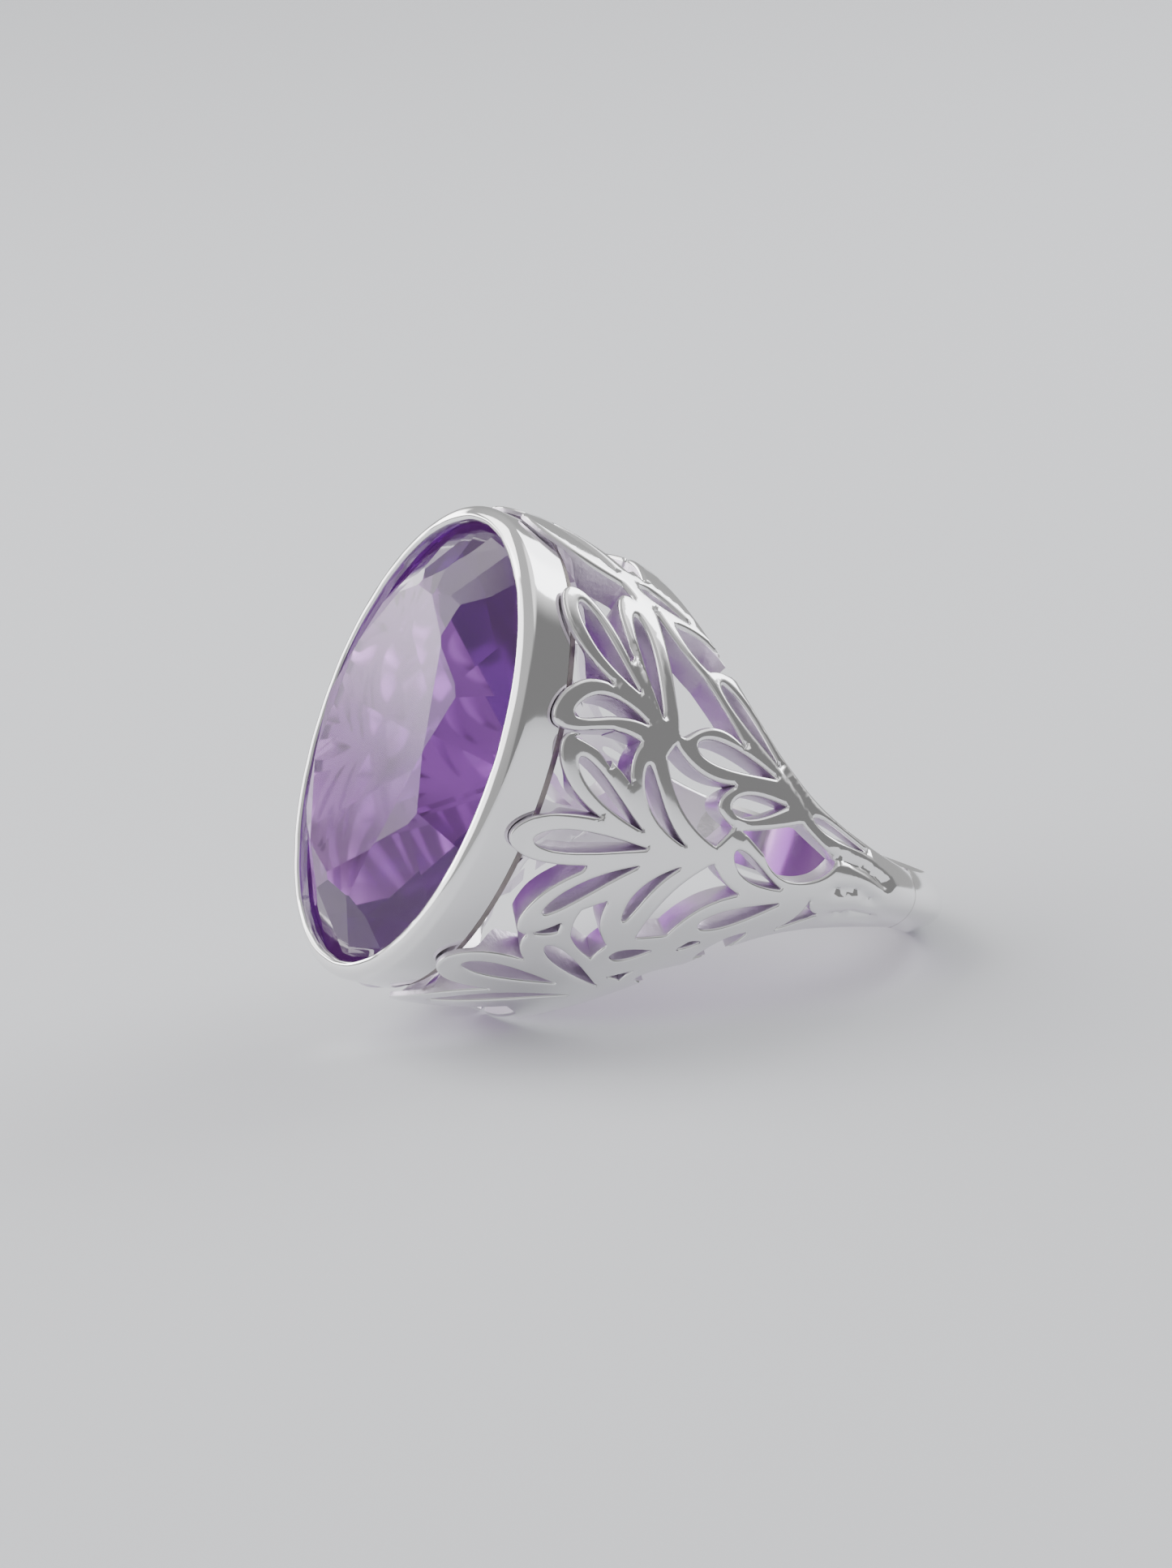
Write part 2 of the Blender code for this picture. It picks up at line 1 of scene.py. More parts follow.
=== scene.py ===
"""Looks of the cocktail ring: polished white metal openwork and a faceted amethyst.

The ring is built in its own frame, in millimetres (t across the hand, a along the
finger, u up to the stone), and laid on the table with the same pose as the frame.
"""
import math

import bmesh
import bpy
import numpy as np
from mathutils import Matrix, Vector
from mathutils.geometry import delaunay_2d_cdt


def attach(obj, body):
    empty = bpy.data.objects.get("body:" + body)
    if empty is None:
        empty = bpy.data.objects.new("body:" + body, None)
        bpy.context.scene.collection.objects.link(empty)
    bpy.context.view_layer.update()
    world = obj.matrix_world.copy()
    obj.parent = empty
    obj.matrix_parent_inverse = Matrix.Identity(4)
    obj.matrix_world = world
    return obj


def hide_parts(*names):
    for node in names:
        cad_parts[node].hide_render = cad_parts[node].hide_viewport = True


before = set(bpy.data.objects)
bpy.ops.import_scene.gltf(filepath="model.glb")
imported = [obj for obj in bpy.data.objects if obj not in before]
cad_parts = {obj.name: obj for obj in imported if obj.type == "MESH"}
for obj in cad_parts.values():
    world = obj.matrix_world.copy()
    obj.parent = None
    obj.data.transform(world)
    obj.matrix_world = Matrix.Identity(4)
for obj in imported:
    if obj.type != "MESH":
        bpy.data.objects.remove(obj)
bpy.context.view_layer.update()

MM = 0.001

# Pose of the ring on the table, degrees and millimetres.
TILT = 26.4
SHIFT_Y = 5.2677
LIFT = 5.1074

# Finger hole and shank.
R_IN = 8.65
R_OUT = 9.9
R_RIM = 8.85
SHANK_K = 3.39

# Shoulders: the half width across the hand and along the finger by height u.
U_TOP = 14.5
T_TOP = 8.1
HALF_A = ((-9.9, 1.3), (-7.0, 1.75), (-3.5, 2.95), (0.0, 4.9), (3.5, 7.8), (6.5, 9.5),
          (9.5, 10.2), (12.5, 10.5), (14.5, 10.65), (16.0, 10.65))
P_END = 19.0
THICK = 1.35
THIN = 0.25
THICKEN_FROM = 0.45
THICKEN_OVER = 1.1
SHARE_A = 0.13
END_LEAN = 0.45
GAP = 0.05

# Stone: an elliptic blank that every facet is sliced from.
BLANK_DEPTH = 14
STONE_T = 7.45
STONE_A = 9.9
GIRDLE_TOP = 15.9
GIRDLE_BASE = 15.45
GIRDLE_SIDES = 192
CROWN_H = 2.5
PAVILION_H = 5.9
TABLE_T = 0.568
TABLE_A = 0.65
STAR_W = 0.115
LOWER_R = 0.6
MAINS = (-163, -126, -90, -44, -1, 43, 70, 96, 119, 150)

# Fineness of the openwork's mesh.
SIDE_STEPS = 28
OUTLINE_TOL = 0.006
MERGE_DIST = 0.02
LEAST_AREA = 0.03
MAX_EDGE = 0.16
GRID = 0.26
GRID_ROW = 0.866
GRID_CLEAR = 0.4
COARSE_CLEAR = 0.8
ROW_CLEAR = 0.85
CUT_EPS = 1e-5
SLIVER = 1e-9

# Rounding of the openwork's edges: smaller towards the side that the ring lies on,
# none at the joint to the shank, and less deep where the sheet is thin.
ROUND = 0.2
ROUND_LOW = 0.11
ROUND_FROM = -1.5
ROUND_OVER = 5.0
ROUND_ROWS = (0.2, 0.5, 1.0)
END_BAND = 0.02
THIN_DROP = 0.4

# Outline of a leaf: the share of its length that the round tip takes, and its taper.
LEAF_TIP = 0.3
LEAF_TAPER = 0.85
LEAF_BELLY = 0.85

# The collet's lip is burnished by hand: waves of (count, shift, share) on these points.
LIP_POINTS = range(10, 16)
LIP_WAVES = ((9, 1.0, 1.0), (16, 0.0, 0.7), (31, 0.0, 0.5))
LIP_WAVE = 0.012

# Steps round the turned and swept pieces.
COLLET_STEPS = 360
RING_STEPS = 160
HOOP_STEPS = 160
SECTION_STEPS = 12

# Solder: the seam's half angle, and the joint between shoulder and shank.
SEAM_ANGLE = 85
WELD_THICK = 0.12
WELD_SPACE = 0.1
WELD_STEPS = 4
WELD_INSET = 0.006

# Angles from which an edge is shown sharp, degrees.
SHARP = 40.0
SHARP_SHOULDER = 55.0
SHARP_FACET = 1.0

# Camera, millimetres and degrees.
AIM = (-3.4526, 0.6145, 7.8165)
AZIMUTH = 60.78
ELEVATION = 15.3125
CAM_ROLL = -4.577
DISTANCE = 300.0
LENS = 159.46
SENSOR = 36.0

# Half width of the floor in metres, and what the lamps aim at in millimetres.
FLOOR = 3.0
CENTRE = (0, 0, 9)

# Openings with a leaf shape, on the unrolled shoulder (p down from the stone, v
# along the finger): tip, root, width, bow of the centre line.
HOLES = (
    ((0.35, 8.45), (3.35, 5.2), 0.95, -0.25),
    ((3.25, 8.8), (4.6, 4.4), 0.7, -0.1),
    ((0.4, 3.45), (3.9, 3.95), 0.9, 0.5),
    ((1.1, 1.7), (4.8, -0.42), 0.8, -0.15),
    ((0.25, -2.1), (5.3, -1.08), 0.95, 0.05),
    ((2.2, -5.1), (5.25, -1.87), 0.65, 0.25),
    ((5.7, -4.4), (7.05, -1.4), 0.5, 0.4),
    ((4.25, 2.25), (6.9, -0.5), 0.62, -0.45),
    ((6.4, 3.75), (10.45, 3.5), 1.0, 0.05),
    ((8.5, 1.65), (11.1, 2.45), 0.95, 0.0),
    ((9.2, -0.1), (11.8, -1.05), 0.8, -0.2),
    ((9.05, -3.7), (12.05, -1.65), 0.75, 0.0),
    ((0.5, -8.7), (5.0, -8.5), 0.85, 0.0),
    ((3.25, -6.6), (6.8, -8.15), 0.7, 0.0),
    ((1.2, -12.3), (6.1, -9.1), 0.75, 0.4),
    ((0.8, 13.95), (2.85, 11.3), 0.5, 0.0),
    ((3.95, 10.8), (6.3, 9.7), 0.7, 0.0),
    ((7.55, 6.9), (10.6, 4.1), 0.7, 0.0),
    ((12.6, 2.35), (15.7, 1.75), 0.55, -0.05),
    ((6.2, -6.3), (7.75, -5.4), 0.55, 0.0),
    ((8.2, -7.3), (9.7, -5.8), 0.6, 0.0),
)

# The leaves that reach the collet: the same four values for their outer edge.
LEAVES = (
    ((-0.75, 14.1), (4.6, 10.0), 2.7, 0.0),
    ((-0.3, 8.95), (4.2, 4.3), 2.15, -0.25),
    ((2.8, 9.8), (5.2, 3.9), 1.8, -0.1),
    ((-0.6, 3.2), (5.0, 3.6), 2.25, 0.8),
    ((0.2, 2.45), (5.4, -0.9), 1.95, -0.3),
    ((-0.85, -2.25), (7.5, -0.6), 2.25, 0.05),
    ((1.6, -6.2), (6.2, -0.9), 2.0, 0.35),
    ((2.1, -6.3), (7.6, -8.6), 2.0, 0.0),
    ((-0.5, -9.0), (7.0, -8.4), 2.45, 0.0),
    ((0.1, -13.5), (7.6, -8.4), 2.2, 0.5),
)

# The sheet the leaves grow from.
BODY = ((2.7, 10.9), (3.3, 9.9), (3.5, 8.0), (3.1, 7.0), (2.3, 5.0), (2.4, 3.5), (2.6, 1.5),
        (3.0, -0.5), (3.2, -1.6), (2.9, -2.8), (2.6, -4.6), (3.0, -6.2), (3.3, -7.6),
        (3.0, -9.3), (3.6, -10.6), (5.2, -11.8), (5.6, -14.9), (9.0, -14.9), (19.5, -5.0),
        (19.5, 5.0), (9.0, 14.9), (5.2, 14.9), (4.2, 12.2))

# Windows between the leaves: corners, each with the rise of the side leaving it.
WINDOWS = (
    ((0.65, 2.5, 0.35), (3.7, 3.15, -0.25), (3.68, 1.3, -0.25)),
    ((4.4, 9.6, -0.05), (5.2, 5.2, 0.03), (5.45, 4.0, -0.08), (5.8, 4.0, 0.6),
     (8.7, 4.4, 0.0), (6.6, 6.9, 0.2)),
    ((5.35, 3.45, 0.0), (5.05, 2.85, -0.55), (8.2, -0.1, 0.0), (8.75, 0.85, 0.8),
     (8.45, 2.6, 0.45)),
    ((9.3, 0.85, 0.0), (10.5, 0.15, -0.2), (12.0, -0.6, -0.35), (13.95, 0.85, 0.05),
     (11.95, 1.9, 0.05)),
    ((8.4, -0.87, -0.5), (6.7, -5.0, 0.0), (7.9, -4.5, 0.4), (10.05, -1.8, 0.15)),
    ((4.62, -3.72, 0.0), (3.75, -4.45, -0.12), (4.0, -5.8, -0.1), (5.46, -6.6, 0.05),
     (5.7, -5.75, 0.35)),
    ((13.3, -1.1, -0.2), (14.0, -1.7, 0.0), (12.6, -2.9, -0.2)),
    ((5.4, 9.15, -0.25), (6.9, 7.35, 0.15), (8.4, 7.5, -0.6)),
    ((2.35, -6.1, -0.05), (3.2, -5.3, 0.0), (3.3, -5.75, 0.08)),
    ((6.8, -7.4, -0.05), (7.65, -6.7, -0.05), (7.5, -7.5, -0.05)),
    ((8.8, -5.05, -0.05), (9.6, -4.4, -0.05), (9.1, -4.55, 0.0)),
    ((9.9, -5.3, -0.35), (11.4, -3.4, -0.25)),
    ((2.2, 15.2, 0.0), (4.4, 11.4, 0.0), (5.4, 15.2, 0.0)),
    ((1.4, -15.2, 0.0), (4.4, -12.3, 0.0), (5.6, -15.2, 0.0)),
)

# Chased lines that carry the leaf outlines on into the sheet: points, width, depth.
GROOVES = (
    (((2.9, 7.2), (3.5, 6.2), (4.0, 5.0), (4.25, 4.2)), 0.2, 0.11),
    (((1.95, 5.2), (2.5, 4.9), (3.2, 4.75)), 0.2, 0.1),
    (((8.75, 0.85), (9.1, 0.85), (9.3, 0.85)), 0.22, 0.12),
    (((13.4, 0.9), (14.5, 1.1), (15.8, 0.9), (16.9, 0.5)), 0.4, 0.26),
    (((14.2, -0.4), (15.3, -0.1), (16.5, -0.4)), 0.35, 0.24),
    (((14.6, -1.6), (15.7, -1.2), (16.9, -1.2)), 0.35, 0.22),
    (((10.6, 4.1), (11.6, 3.3), (12.6, 2.35)), 0.22, 0.1),
)

COLLET = ((10.25, 7.75, 14.5), (10.27, 7.77, 14.8), (10.31, 7.81, 15.3), (10.34, 7.84, 15.8),
          (10.36, 7.86, 16.2), (10.355, 7.855, 16.34), (10.325, 7.825, 16.46),
          (10.26, 7.76, 16.58), (10.15, 7.65, 16.69), (10.0, 7.5, 16.79), (9.86, 7.36, 16.845),
          (9.77, 7.27, 16.845), (9.68, 7.19, 16.79), (9.62, 7.14, 16.66), (9.6, 7.12, 16.52),
          (9.6, 7.12, 16.36), (9.95, 7.5, 16.12), (9.95, 7.5, 14.5))
BEARING = ((9.9, 7.45, 14.55), (9.9, 7.45, 15.28), (9.15, 6.75, 14.76), (9.15, 6.75, 14.55))
SEAM = ((10.2, 7.7, 14.45), (9.98, 7.48, 14.45), (9.98, 7.48, 14.2), (10.08, 7.58, 14.12))


# ---- the shoulder's surface ------------------------------------------------

def hermite(table, x):
    """Monotone cubic through a table of (x, y)."""
    xs = np.array([q[0] for q in table])
    ys = np.array([q[1] for q in table])
    h = np.diff(xs)
    d = np.diff(ys) / h
    m = np.zeros(len(xs))
    for i in range(1, len(xs) - 1):
        if d[i - 1] * d[i] > 0:
            w1 = 2 * h[i] + h[i - 1]
            w2 = h[i] + 2 * h[i - 1]
            m[i] = (w1 + w2) / (w1 / d[i - 1] + w2 / d[i])
    m[0] = d[0]
    m[-1] = d[-1]
    x = np.clip(x, xs[0], xs[-1])
    i = np.clip(np.searchsorted(xs, x) - 1, 0, len(h) - 1)
    s = (x - xs[i]) / h[i]
    return ((1 + 2 * s) * (1 - s) ** 2 * ys[i] + s * (1 - s) ** 2 * h[i] * m[i]
            + s * s * (3 - 2 * s) * ys[i + 1] + s * s * (s - 1) * h[i] * m[i + 1])


TANGENT = math.atan2(T_TOP, U_TOP) + math.acos(R_OUT / math.hypot(T_TOP, U_TOP))
T_TAN = R_OUT * math.sin(TANGENT)
U_TAN = R_OUT * math.cos(TANGENT)
RUN = math.hypot(T_TOP - T_TAN, U_TOP - U_TAN)


def spine(p):
    """Side outline of the ring: a straight run from the collet, then the hoop."""
    p = np.asarray(p, float)
    a0 = math.atan2(U_TAN, T_TAN)
    ang = a0 - (p - RUN) / R_OUT
    f = p / RUN
    straight = p < RUN
    t = np.where(straight, T_TOP + (T_TAN - T_TOP) * np.maximum(f, 0), R_OUT * np.cos(ang))
    u = np.where(straight, U_TOP + (U_TAN - U_TOP) * f, R_OUT * np.sin(ang))
    u = np.where(p < 0, U_TOP - p, u)
    nt = np.where(straight, (U_TOP - U_TAN) / RUN, np.cos(ang))
    nu = np.where(straight, (T_TAN - T_TOP) / RUN, np.sin(ang))
    return t, u, nt, nu


def smooth(x):
    x = np.clip(x, 0.0, 1.0)
    return x * x * (3 - 2 * x)


def arc_table(t, a, top=math.pi / 2, n=121):
    """Angles and the arc length up to each, for quarter ellipses (t, a)."""
    q = np.linspace(0, 1, n)[None, :] * np.broadcast_to(top, t.shape)[:, None]
    g = np.sqrt((t[:, None] * np.sin(q)) ** 2 + (a[:, None] * np.cos(q)) ** 2)
    s = np.zeros_like(g)
    s[:, 1:] = np.cumsum((g[:, 1:] + g[:, :-1]) / 2 * np.diff(q, axis=1), axis=1)
    return q, s


def shell(pts, drop):
    """Outer and inner points of the shoulder for points of the unrolled sheet."""
    p = pts[:, 0]
    v = pts[:, 1]
    t, u, nt, nu = spine(p)
    a = hermite(HALF_A, u)
    q, s = arc_table(t, a)
    psi = np.array([np.interp(abs(v[i]), s[i], q[i]) for i in range(len(v))])
    psi = np.minimum(psi, np.arccos(0.5 * GAP / t))
    c = np.cos(psi)
    z = np.sin(psi) * np.sign(v)
    outer = np.stack([t * c, a * z, u], axis=1)
    normal = np.stack([nt * c / t, z / a, nu * c / t], axis=1)
    normal /= np.linalg.norm(normal, axis=1)[:, None]
    share = (THIN + (THICK - THIN) * smooth((p - THICKEN_FROM) / THICKEN_OVER)) / THICK
    ti = t * c - THICK * share * nt * c
    ui = u - THICK * share * nu * c
    ai = a * z * (1 - SHARE_A * share)
    r = np.hypot(ti, ui)
    k = np.where(r < R_IN, R_IN / np.maximum(r, 1e-9), 1.0)
    ti = np.maximum(ti * k, 0.5 * GAP)
    inner = np.stack([ti, ai, ui * k], axis=1)
    depth = drop * np.minimum(1, THIN_DROP + (1 - THIN_DROP) * share)
    low = outer - normal * depth[:, None]
    low[:, 0] = np.maximum(low[:, 0], 0.5 * GAP)
    return low, inner


def edge_v(p):
    """Half height of the unrolled sheet at p: the other shoulder or the finger hole."""
    p = np.asarray(p, float)
    t, u, nt, nu = spine(p)
    a = hermite(HALF_A, u)
    c = np.where(np.abs(u) < R_RIM, np.sqrt(np.maximum(R_RIM ** 2 - u * u, 0)) / t, 0)
    c = np.maximum(np.minimum(c, 1.0), 0.5 * GAP / t)
    q, s = arc_table(t, a, np.arccos(c))
    return s[:, -1]


# ---- outlines on the unrolled sheet ----------------------------------------

def leaf_width(f):
    """Half width of a leaf along its length: round at the tip, pointed at the root."""
    if f < LEAF_TIP:
        g = 1 - f / LEAF_TIP
        return math.sqrt(max(0.0, 1 - g * g))
    g = (f - LEAF_TIP) / (1 - LEAF_TIP)
    return (1 - g) ** LEAF_TAPER * (1 + LEAF_BELLY * g * (1 - g))


def leaf_outline(leaf, steps):
    """Closed outline of one leaf: down its left side and back up its right."""
    tip, root, width, bow = leaf
    dx = root[0] - tip[0]
    dy = root[1] - tip[1]
    long = math.hypot(dx, dy)
    nx = -dy / long
    ny = dx / long
    left = []
    right = []
    for k in range(steps + 1):
        f = 0.5 - 0.5 * math.cos(math.pi * k / steps)
        w = width / 2 * leaf_width(f)
        o = bow * 4 * f * (1 - f)
        x = tip[0] + dx * f
        y = tip[1] + dy * f
        left.append((x + nx * (o + w), y + ny * (o + w)))
        right.append((x + nx * (o - w), y + ny * (o - w)))
    return left + right[-2:0:-1]


def window_outline(corners, steps):
    """Closed outline of one window, each side bowed by its own rise."""
    out = []
    for i, (x, y, rise) in enumerate(corners):
        x2, y2, _ = corners[(i + 1) % len(corners)]
        dx = x2 - x
        dy = y2 - y
        long = math.hypot(dx, dy)
        n = steps if abs(rise) > 0.02 else 1
        for k in range(n):
            f = k / n
            o = rise * 4 * f * (1 - f) / long
            out.append((x + dx * f - dy * o, y + dy * f + dx * o))
    return out


def sheet_outline():
    """Outline of the whole unrolled sheet, finest where the finger hole meets it."""
    p = np.concatenate([np.arange(-1.3, 5.6, 0.3), np.arange(5.7, 8.0, 0.06),
                        np.arange(8.1, P_END - 0.2, 0.2), [P_END]])
    v = edge_v(p)
    up = list(zip(p, v))
    down = list(zip(p[::-1], -v[::-1]))
    return [(float(x), float(y)) for x, y in down + up]


def inside(pts, poly):
    """Even-odd test of many points against one polygon."""
    pts = np.asarray(pts, float)
    q = np.asarray(poly, float)
    x1, y1 = q[:, 0], q[:, 1]
    x2, y2 = np.roll(x1, -1), np.roll(y1, -1)
    px, py = pts[:, 0:1], pts[:, 1:2]
    cross = (y1 > py) != (y2 > py)
    dy = np.where(y2 == y1, 1e-12, y2 - y1)
    hit = px < (x2 - x1) * (py - y1) / dy + x1
    return (cross & hit).sum(axis=1) % 2 == 1


def triangulate(pts, polys):
    """Triangles over points and closed outlines: vertices, triangles, their middles."""
    verts = list(pts)
    edges = []
    for poly in polys:
        n0 = len(verts)
        verts += list(poly)
        n = len(poly)
        edges += [(n0 + i, n0 + (i + 1) % n) for i in range(n)]
    res = delaunay_2d_cdt(verts, edges, [], 0, CUT_EPS, False)
    xy = np.array([(q[0], q[1]) for q in res[0]])
    tri = np.array([f for f in res[2] if len(f) == 3], int)
    a, b, c = xy[tri[:, 0]], xy[tri[:, 1]], xy[tri[:, 2]]
    ab = b - a
    ac = c - a
    area = ab[:, 0] * ac[:, 1] - ab[:, 1] * ac[:, 0]
    tri[area < 0] = tri[area < 0][:, ::-1]
    tri = tri[np.abs(area) > SLIVER]
    mid = (xy[tri[:, 0]] + xy[tri[:, 1]] + xy[tri[:, 2]]) / 3
    return xy, tri, mid


def border(tri):
    """Directed edges with metal on their left, from the kept triangles."""
    seen = {(int(f[i]), int(f[(i + 1) % 3])): True for f in tri for i in range(3)}
    return [e for e in seen if (e[1], e[0]) not in seen]


def loops_of(xy, tri):
    """Closed outlines of the kept triangles, turning tightest where edges meet."""
    out = {}
    for a, b in border(tri):
        out.setdefault(a, []).append(b)
    loops = []
    while out:
        start = min(out)
        path = [start]
        cur = out[start].pop(0)
        if not out[start]:
            del out[start]
        prev = start
        while cur != start:
            path.append(cur)
            nxt = out[cur]
            back = math.atan2(*(xy[prev] - xy[cur])[::-1])
            turn = [(back - math.atan2(*(xy[n] - xy[cur])[::-1])) % (2 * math.pi)
                    for n in nxt]
            k = int(np.argmin(turn))
            prev = cur
            cur = nxt.pop(k)
            if not nxt:
                del out[prev]
        loops.append([tuple(xy[i]) for i in path])
    return loops


def area_of(poly):
    q = np.asarray(poly)
    n = np.roll(q, -1, axis=0)
    return 0.5 * float(np.sum(q[:, 0] * n[:, 1] - q[:, 1] * n[:, 0]))


def simplify(line, tol):
    """Douglas-Peucker on an open line."""
    if len(line) < 3:
        return line
    a = np.array(line[0])
    b = np.array(line[-1])
    q = np.array(line[1:-1])
    d = b - a
    n = math.hypot(*d)
    if n < 1e-9:
        dist = np.hypot(*(q - a).T)
    else:
        dist = np.abs(d[0] * (q[:, 1] - a[1]) - d[1] * (q[:, 0] - a[0])) / n
    k = int(np.argmax(dist))
    if dist[k] <= tol:
        return [line[0], line[-1]]
    return simplify(line[:k + 2], tol)[:-1] + simplify(line[k + 1:], tol)


def tidy_loop(loop, tol, longest):
    """Merge near points, drop the ones a straight side doesn't need, split long sides."""
    keep = []
    for q in loop:
        if not keep or math.dist(q, keep[-1]) > MERGE_DIST:
            keep.append(q)
    while len(keep) > 3 and math.dist(keep[0], keep[-1]) < MERGE_DIST:
        keep.pop()
    c = np.mean(keep, axis=0)
    k = int(np.argmax([math.dist(q, c) for q in keep]))
    keep = keep[k:] + keep[:k] + [keep[k]]
    half = len(keep) // 2
    line = simplify(keep[:half + 1], tol)[:-1] + simplify(keep[half:], tol)[:-1]
    out = []
    for i, q in enumerate(line):
        r = line[(i + 1) % len(line)]
        n = max(1, math.ceil(math.dist(q, r) / longest))
        out += [(q[0] + (r[0] - q[0]) * j / n, q[1] + (r[1] - q[1]) * j / n)
                for j in range(n)]
    return out


def metal_loops():
    """Outlines of the pierced sheet: one outer loop and one for each opening."""
    sheet = sheet_outline()
    leaves = [leaf_outline(q, SIDE_STEPS) for q in LEAVES]
    holes = [leaf_outline(q, SIDE_STEPS) for q in HOLES]
    holes += [window_outline(q, SIDE_STEPS // 2 + 1) for q in WINDOWS]
    xy, tri, mid = triangulate([], [sheet, list(BODY)] + leaves + holes)
    keep = inside(mid, BODY)
    for q in leaves:
        keep |= inside(mid, q)
    keep &= inside(mid, sheet)
    for q in holes:
        keep &= ~inside(mid, q)
    loops = loops_of(xy, tri[keep])
    loops = [tidy_loop(q, OUTLINE_TOL, MAX_EDGE) for q in loops
             if abs(area_of(q)) > LEAST_AREA]
    outer = max(loops, key=area_of)
    return [outer] + [q for q in loops if area_of(q) < 0]


def sides_of(loops):
    """Start and stop of every segment of the outlines."""
    a = np.vstack([np.array(q) for q in loops])
    b = np.vstack([np.roll(np.array(q), -1, axis=0) for q in loops])
    return a, b


def distance(pts, a, b, chunk=400):
    """Distance of many points from the nearest of many segments."""
    out = []
    d = b - a
    dd = np.maximum((d * d).sum(axis=1), 1e-12)
    for i in range(0, len(pts), chunk):
        w = pts[i:i + chunk, None, :] - a[None]
        f = np.clip((w * d).sum(axis=2) / dd, 0, 1)
        out.append(np.linalg.norm(w - f[:, :, None] * d, axis=2).min(axis=1))
    return np.concatenate(out)


def in_metal(pts, loops):
    """Whether each point is inside the outer loop and outside every opening."""
    keep = inside(pts, loops[0])
    for hole in loops[1:]:
        keep &= ~inside(pts, hole)
    return keep


def grid_points(loops, spacing):
    """A triangular grid of points on the metal."""
    q = np.array(loops[0])
    lo = q.min(axis=0)
    hi = q.max(axis=0)
    pts = []
    for j in range(int((hi[1] - lo[1]) / (spacing * GRID_ROW)) + 1):
        for i in range(int((hi[0] - lo[0]) / spacing) + 1):
            pts.append((lo[0] + (i + 0.5 * (j % 2)) * spacing,
                        lo[1] + j * spacing * GRID_ROW))
    pts = np.array(pts)
    return pts[in_metal(pts, loops)]


def edge_rows(loops, steps):
    """Rows of points beside every edge, where the rounding needs them."""
    rows = []
    for loop in loops:
        q = np.array(loop)
        before = q - np.roll(q, 1, axis=0)
        after = np.roll(q, -1, axis=0) - q
        before /= np.linalg.norm(before, axis=1)[:, None]
        after /= np.linalg.norm(after, axis=1)[:, None]
        n = np.stack([-(before + after)[:, 1], (before + after)[:, 0]], axis=1)
        n /= np.maximum(np.linalg.norm(n, axis=1), 1e-6)[:, None]
        for d in steps:
            rows.append(np.c_[q + n * d, np.full(len(q), d)])
    return np.vstack(rows)


def relief(pts, sides):
    """How far each point lies under the full surface: rounded edges and chased lines."""
    start, stop = sides
    free = np.minimum(start[:, 0], stop[:, 0]) < P_END - END_BAND
    d = distance(pts, start[free], stop[free])
    across = np.clip((pts[:, 1] - ROUND_FROM) / ROUND_OVER, 0, 1)
    radius = ROUND_LOW + (ROUND - ROUND_LOW) * across
    k = np.clip(1 - d / radius, 0, 1)
    drop = radius * (1 - np.sqrt(1 - k * k))
    for line, width, depth in GROOVES:
        g = np.array(line)
        near = distance(pts, g[:-1], g[1:])
        drop = drop + depth * np.exp(-(near / (0.5 * width)) ** 2)
    return drop


def shoulder_mesh():
    """Vertices, faces and material numbers (0 polished face, 1 sawn edge, 2 inside)."""
    loops = metal_loops()
    sides = sides_of(loops)
    rows = edge_rows(loops, [share * ROUND for share in ROUND_ROWS])
    real = distance(rows[:, :2], *sides)
    rows = rows[(real > ROW_CLEAR * rows[:, 2]) & in_metal(rows[:, :2], loops)]
    grid = grid_points(loops, GRID)
    grid = grid[distance(grid, *sides) > ROUND + GRID_CLEAR * GRID]
    pts = [tuple(map(float, q[:2])) for q in rows] + [tuple(map(float, q)) for q in grid]
    xy, tri, mid = triangulate(pts, loops)
    tri = tri[in_metal(mid, loops)]
    used = sorted(set(tri.ravel().tolist()))
    index = {v: i for i, v in enumerate(used)}
    top = xy[used]
    outer, _ = shell(top, relief(top, sides))
    verts = [tuple(q) for q in outer]
    faces = [tuple(index[v] for v in f) for f in tri]
    kinds = [0] * len(faces)
    rim = border(tri)
    ids = sorted({v for e in rim for v in e})
    low = {v: len(verts) + i for i, v in enumerate(ids)}
    rim_xy = xy[ids]
    _, inner = shell(rim_xy, np.zeros(len(ids)))
    verts += [tuple(q) for q in inner]
    for a, b in rim:
        faces.append((index[b], index[a], low[a], low[b]))
        kinds.append(1)
    coarse = grid_points(loops, 2 * GRID)
    coarse = coarse[distance(coarse, *sides) > COARSE_CLEAR * GRID]
    xy2, tri2, mid2 = triangulate([tuple(map(float, q)) for q in coarse], loops)
    tri2 = tri2[in_metal(mid2, loops)]
    where = {(round(x, 4), round(y, 4)): low[v] for v, (x, y) in zip(ids, rim_xy)}
    used2 = sorted(set(tri2.ravel().tolist()))
    _, inner2 = shell(xy2[used2], np.zeros(len(used2)))
    link = {}
    for v, q in zip(used2, inner2):
        key = (round(xy2[v][0], 4), round(xy2[v][1], 4))
        if key not in where:
            where[key] = len(verts)
            verts.append(tuple(q))
        link[v] = where[key]
    for f in tri2:
        faces.append(tuple(link[v] for v in f[::-1]))
        kinds.append(2)
    return verts, faces, kinds


def mirrored(solid):
    """The same solid on the other side of the ring."""
    verts, faces, kinds = solid
    return [(-x, y, z) for x, y, z in verts], [tuple(f[::-1]) for f in faces], kinds


